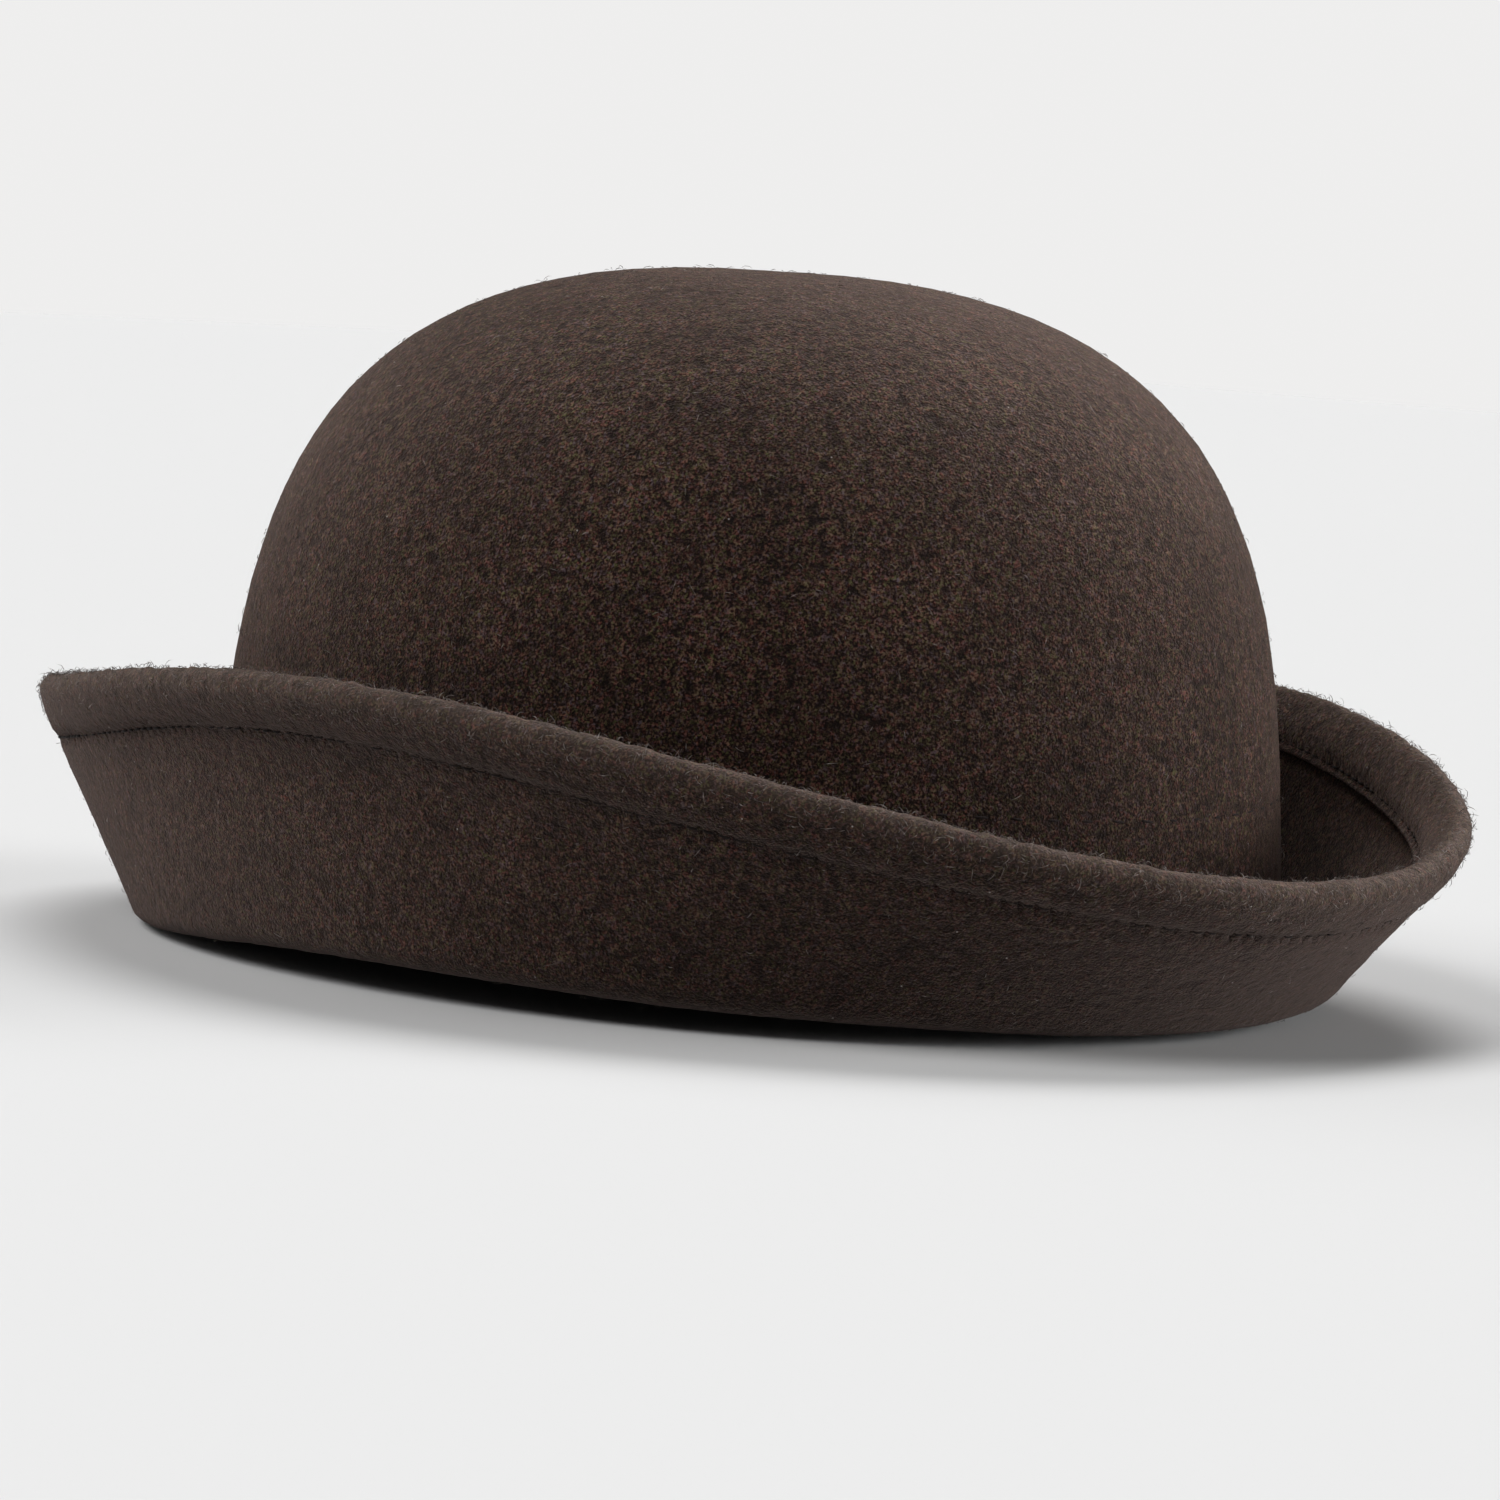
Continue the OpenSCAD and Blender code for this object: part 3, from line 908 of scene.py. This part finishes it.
def cells(tree, scale, wobble):
    """Small cells of random colour, their shape blurred by noise."""
    bent = node(tree, "ShaderNodeTexNoise", Vector=object_place(tree), Scale=scale * 0.8, Detail=2.0)
    shifted = tree.nodes.new("ShaderNodeVectorMath")
    shifted.operation = "MULTIPLY_ADD"
    tree.links.new(bent.outputs["Color"], shifted.inputs[0])
    shifted.inputs[1].default_value = (wobble / scale,) * 3
    tree.links.new(object_place(tree), shifted.inputs[2])
    return node(tree, "ShaderNodeTexVoronoi", Vector=shifted.outputs[0], Scale=scale)


def lint(tree, scale, size):
    """Factor that is 1 in a few sparse specks."""
    spots = node(tree, "ShaderNodeTexVoronoi", Vector=object_place(tree), Scale=scale)
    kept = math_node(tree, "GREATER_THAN", first_channel(tree, spots.outputs["Color"]), 0.72)
    near = math_node(tree, "LESS_THAN", spots.outputs["Distance"], size)
    return math_node(tree, "MULTIPLY", kept, near)


def felt_wool(tree, grain, tufts, folds):
    """Colour of the matted wool: dark gaps, mixed fibres, and patches of several sizes."""
    body = ramp(tree, grain, [(0.41, (0.006, 0.0013, 0.0010)), (0.49, (0.042, 0.0198, 0.0132)),
                              (0.60, (0.108, 0.071, 0.051))])
    fibre = first_channel(tree, cells(tree, 1900, 1.3).outputs["Color"])
    hues = ramp(tree, fibre, [(0.0, (0.25, 0.22, 0.20)), (0.16, (0.72, 1.12, 0.60)),
                              (0.38, (1.02, 1.06, 0.92)), (0.60, (0.80, 0.94, 1.50)),
                              (0.78, (1.25, 0.74, 0.78)), (1.0, (1.28, 1.40, 1.24))])
    patches = ramp(tree, tufts, [(0.36, (0.50, 0.47, 0.47)), (0.64, (1.32, 1.30, 1.30))])
    pits = ramp(tree, folds, [(0.35, (0.22, 0.18, 0.18)), (0.46, (1.0,) * 3), (0.66, (1.12,) * 3)])
    broad = ramp(tree, noise(tree, 60, 4.0, 0.6).outputs[0],
                 [(0.34, (0.80, 0.78, 0.78)), (0.66, (1.20, 1.20, 1.20))])
    colour = body
    for layer in (hues, patches, pits, broad):
        colour = mix(tree, 1.0, colour, layer, "MULTIPLY")
    return colour


def felt_use(tree, colour):
    """Painted shade round the needle holes, painted shade on downward faces, rubbing with a painted
    highlight on the rim, and specks of lint.
    """
    # Painted shade: the felt is darkened round each needle hole, as the shadow inside it
    sewn = math_node(tree, "MULTIPLY", attribute(tree, "hole"), 0.9)
    colour = mix(tree, sewn, colour, (0.004, 0.0025, 0.002))
    # Painted shade: darkens downward-facing felt, from the normal's height stored on the mesh
    facing_shade_tone = ramp(tree, attribute(tree, "facing_shade"), [(0.0, (0.20, 0.19, 0.21)), (0.5, (0.82, 0.80, 0.80)),
                                                 (1.0, (1.00, 1.03, 1.03))])
    colour = mix(tree, 1.0, colour, facing_shade_tone, "MULTIPLY")
    # Partly rubbing, partly painted highlight: the folded rim is lightened towards a pale brown
    rubbed_and_highlit = math_node(tree, "MULTIPLY", attribute(tree, "wear_and_highlight"), 0.6)
    colour = mix(tree, rubbed_and_highlit, colour, mix(tree, 0.5, colour, (0.16, 0.125, 0.105)))
    return mix(tree, lint(tree, 210, 0.034), colour, (0.30, 0.27, 0.25))


def felt_material():
    """Pressed wool: a matted grain of light and dark fibres under a short pale nap."""
    material, tree, shader = new_material("wool_felt", (0.03, 0.02, 0.016), 0.95, sheen=0.20,
                                          tint=(1.0, 0.77, 0.69), specular=0.06)
    grain = noise(tree, 2300, 3.0, 0.6, 0.3).outputs[0]
    tufts = noise(tree, 620, 4.0, 0.65, 0.3).outputs[0]
    folds = noise(tree, 1.0, 3.0, 0.6, 0.4, squeeze=(420, 420, 560)).outputs[0]
    colour = felt_use(tree, felt_wool(tree, grain, tufts, folds))
    tree.links.new(colour, shader.inputs["Base Color"])
    rough = ramp(tree, grain, [(0.3, (0.84,) * 3), (0.7, (1.0,) * 3)])
    tree.links.new(rough, shader.inputs["Roughness"])
    height = math_node(tree, "ADD", math_node(tree, "MULTIPLY", folds, 1.3), tufts)
    bump(tree, shader, math_node(tree, "ADD", height, grain), 0.0005, 0.85)
    return material


def nap_material():
    """Loose wool fibres, some dark and some pale, as if dusted."""
    material, tree, shader = new_material("wool_nap", (0.12, 0.09, 0.075), 0.8, sheen=0.2, specular=0.2)
    shades = ramp(tree, noise(tree, 700, 2.0).outputs[0],
                  [(0.35, (0.04, 0.026, 0.021)), (0.52, (0.10, 0.075, 0.064)), (0.68, (0.32, 0.27, 0.245))])
    tree.links.new(shades, shader.inputs["Base Color"])
    return material


def grosgrain_material():
    """Ribbed ribbon: the ribs are geometry, their fine threads are bump."""
    material, tree, shader = new_material("grosgrain", (0.016, 0.013, 0.012), 0.55, sheen=0.25, specular=0.4)
    threads = noise(tree, 3200, 3.0)
    shades = ramp(tree, threads.outputs[0], [(0.3, (0.009, 0.0075, 0.007)), (0.7, (0.026, 0.021, 0.019))])
    tree.links.new(shades, shader.inputs["Base Color"])
    bump(tree, shader, threads.outputs[0], 0.00015, 0.7)
    return material


def weave(tree, pitch, first_axis, second_axis):
    """Plain weave as a height, from two crossed sets of threads along two axes."""
    spot = tree.nodes.new("ShaderNodeSeparateXYZ")
    tree.links.new(object_place(tree), spot.inputs[0])
    waves = []
    for axis in (first_axis, second_axis):
        turned = math_node(tree, "MULTIPLY", spot.outputs[axis], 2 * math.pi / pitch)
        waves.append(math_node(tree, "SINE", turned, 0.0))
    return math_node(tree, "MULTIPLY", *waves)


def label_material(name, base, pitch, roughness, sheen, axes):
    """Blank label tape with its weave."""
    material, tree, shader = new_material(name, base, roughness, sheen=sheen, specular=0.4)
    threads = weave(tree, pitch, *axes)
    soft = noise(tree, 600, 3.0)
    height = math_node(tree, "ADD", threads, soft.outputs[0])
    shades = ramp(tree, math_node(tree, "MULTIPLY", height, 0.5),
                  [(0.0, tuple(c * 0.80 for c in base)), (0.7, base)])
    tree.links.new(shades, shader.inputs["Base Color"])
    bump(tree, shader, height, 0.00008, 0.8)
    return material


def thread_material(name, base):
    """Sewing thread with a fine twist."""
    material, tree, shader = new_material(name, base, 0.85, sheen=0.05, specular=0.15)
    twist = noise(tree, 3800, 2.0)
    shades = ramp(tree, twist.outputs[0],
                  [(0.3, tuple(c * 0.6 for c in base)), (0.7, tuple(c * 1.5 for c in base))])
    tree.links.new(shades, shader.inputs["Base Color"])
    bump(tree, shader, twist.outputs[0], 0.0002, 0.7)
    return material


def metal_material(name, base, dull, roughness):
    """Bare metal with drawing marks and dull patches."""
    material, tree, shader = new_material(name, base, roughness, specular=0.5, metallic=1.0)
    marks = noise(tree, 1200, 3.0, 0.6, 1.5)
    shades = ramp(tree, marks.outputs[0], [(0.35, dull), (0.6, base)])
    tree.links.new(shades, shader.inputs["Base Color"])
    rough = ramp(tree, marks.outputs[0], [(0.3, (roughness + 0.2,) * 3), (0.7, (roughness,) * 3)])
    tree.links.new(rough, shader.inputs["Roughness"])
    bump(tree, shader, marks.outputs[0], 0.00005, 0.6)
    return material


def finish_cad_node(name, material):
    """A CAD node that keeps its shape gets its finish."""
    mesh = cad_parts[name].data
    mesh.materials.clear()
    mesh.materials.append(material)


# --- studio

FLOOR_SIZE = 8.0
FLOOR_TONE = 0.68
WORLD_LIGHT, BACKDROP = 0.08, 0.86
BACKDROP_TINT = (1.0, 0.995, 0.99, 1)
CAMERA_AZIMUTH, CAMERA_ELEVATION, CAMERA_ROLL = math.radians(-46.4), math.radians(3.57), math.radians(3.73)
CAMERA_DISTANCE = 1.1228
LENS_MM = 154.35
PIVOT_ABOVE_BASE = 0.04775
AIM_DOWN, AIM_LEFT = math.radians(1.087), math.radians(0.075)


def make_floor():
    """A plain pale floor, the same to the camera as to the light."""
    points = np.array([(-1, -1, 0), (1, -1, 0), (1, 1, 0), (-1, 1, 0)]) * FLOOR_SIZE / 2
    floor = bpy.data.objects.new("studio_floor", new_mesh("studio_floor", points, [(0, 1, 2, 3)]))
    bpy.context.scene.collection.objects.link(floor)
    material = new_material("studio_floor", (FLOOR_TONE,) * 3, 1.0, specular=0.0)[0]
    floor.data.materials.append(material)


def make_world():
    """A pale backdrop, which lights the hat less than it shows."""
    world = bpy.data.worlds.new("studio")
    world.use_nodes = True
    tree = world.node_tree
    light = tree.nodes["Background"]
    light.inputs["Color"].default_value = BACKDROP_TINT
    light.inputs["Strength"].default_value = WORLD_LIGHT
    backdrop = node(tree, "ShaderNodeBackground", Color=BACKDROP_TINT, Strength=BACKDROP)
    path = tree.nodes.new("ShaderNodeLightPath")
    shown = tree.nodes.new("ShaderNodeMixShader")
    tree.links.new(path.outputs["Is Camera Ray"], shown.inputs[0])
    tree.links.new(light.outputs[0], shown.inputs[1])
    tree.links.new(backdrop.outputs[0], shown.inputs[2])
    tree.links.new(shown.outputs[0], tree.nodes["World Output"].inputs["Surface"])
    bpy.context.scene.world = world


def add_soft_sun(name, direction, strength, spread):
    """A wide, soft light from a far direction, even over the whole floor."""
    light = bpy.data.lights.new(name, "SUN")
    light.energy = strength
    light.angle = math.radians(spread)
    lamp = bpy.data.objects.new(name, light)
    lamp.rotation_euler = direction.to_track_quat("Z", "Y").to_euler()
    bpy.context.scene.collection.objects.link(lamp)


def camera_axes():
    """Right, up and backward axes of the level camera."""
    az, el = CAMERA_AZIMUTH, CAMERA_ELEVATION
    back = Vector((math.sin(az) * math.cos(el), -math.cos(az) * math.cos(el), math.sin(el)))
    right = Vector((math.cos(az), math.sin(az), 0))
    return right, back.cross(right), back


def make_lights():
    """Four soft lights: left, right, above from behind, and high in front."""
    right, up, back = camera_axes()
    level = Vector((back.x, back.y, 0)).normalized()
    sky = Vector((0, 0, 1))
    add_soft_sun("left_light", -1.0 * right - 0.6 * level + 0.45 * sky, 0.75, 45)
    add_soft_sun("right_light", 1.0 * right - 0.15 * level + 0.06 * sky, 4.7, 45)
    add_soft_sun("top_light", sky - 0.6 * level, 1.95, 35)
    add_soft_sun("front_light", -0.75 * right + 0.55 * level + 1.0 * sky, 1.6, 35)


def make_camera():
    """Camera at the photo's viewing angle, fitted to the hat's outline."""
    data = bpy.data.cameras.new("camera")
    data.lens = LENS_MM
    data.clip_end = 50
    camera = bpy.data.objects.new("camera", data)
    right, up, back = camera_axes()
    pivot = Vector((0, CENTRE_Y * MM, BASE_LEVEL * MM + PIVOT_ABOVE_BASE))
    turn = Matrix((right, up, back)).transposed()
    turn = turn @ Matrix.Rotation(CAMERA_ROLL, 3, "Z") @ Matrix.Rotation(-AIM_DOWN, 3, "X")
    turn = turn @ Matrix.Rotation(AIM_LEFT, 3, "Y")
    camera.matrix_world = Matrix.Translation(pivot + back * CAMERA_DISTANCE) @ turn.to_4x4()
    bpy.context.scene.collection.objects.link(camera)
    bpy.context.scene.camera = camera


# --- the hat in its studio

bpy.context.scene.view_settings.view_transform = "Standard"
make_camera()
make_floor()
make_world()
make_lights()
felt = make_felt_body(felt_material())
make_nap(felt, nap_material())
# Dark brown thread, darkened to near-black as painted shade of the recess it lies in
make_hem_stitching(thread_material("hem_thread", (0.010, 0.0065, 0.0055)))
make_sweatband(grosgrain_material())
tack_thread = thread_material("tack_thread", (0.015, 0.009, 0.008))
make_tack_stitching(tack_thread)
make_join_stitching(tack_thread)
make_size_label(label_material("label_weave", (0.70, 0.66, 0.58), 0.0006, 0.8, 0.2, (0, 2)))
make_care_label(label_material("label_satin", (0.80, 0.79, 0.75), 0.0004, 0.4, 0.3, (1, 2)))
label_thread = thread_material("label_thread", (0.62, 0.58, 0.50))
make_size_label_stitching(label_thread)
make_care_label_stitching(label_thread)
finish_cad_node("brim_wire", metal_material("spring_steel", (0.55, 0.56, 0.57), (0.35, 0.34, 0.33), 0.35))
finish_cad_node("wire_joiner", metal_material("crimp_sleeve", (0.69, 0.55, 0.34), (0.45, 0.36, 0.22), 0.4))
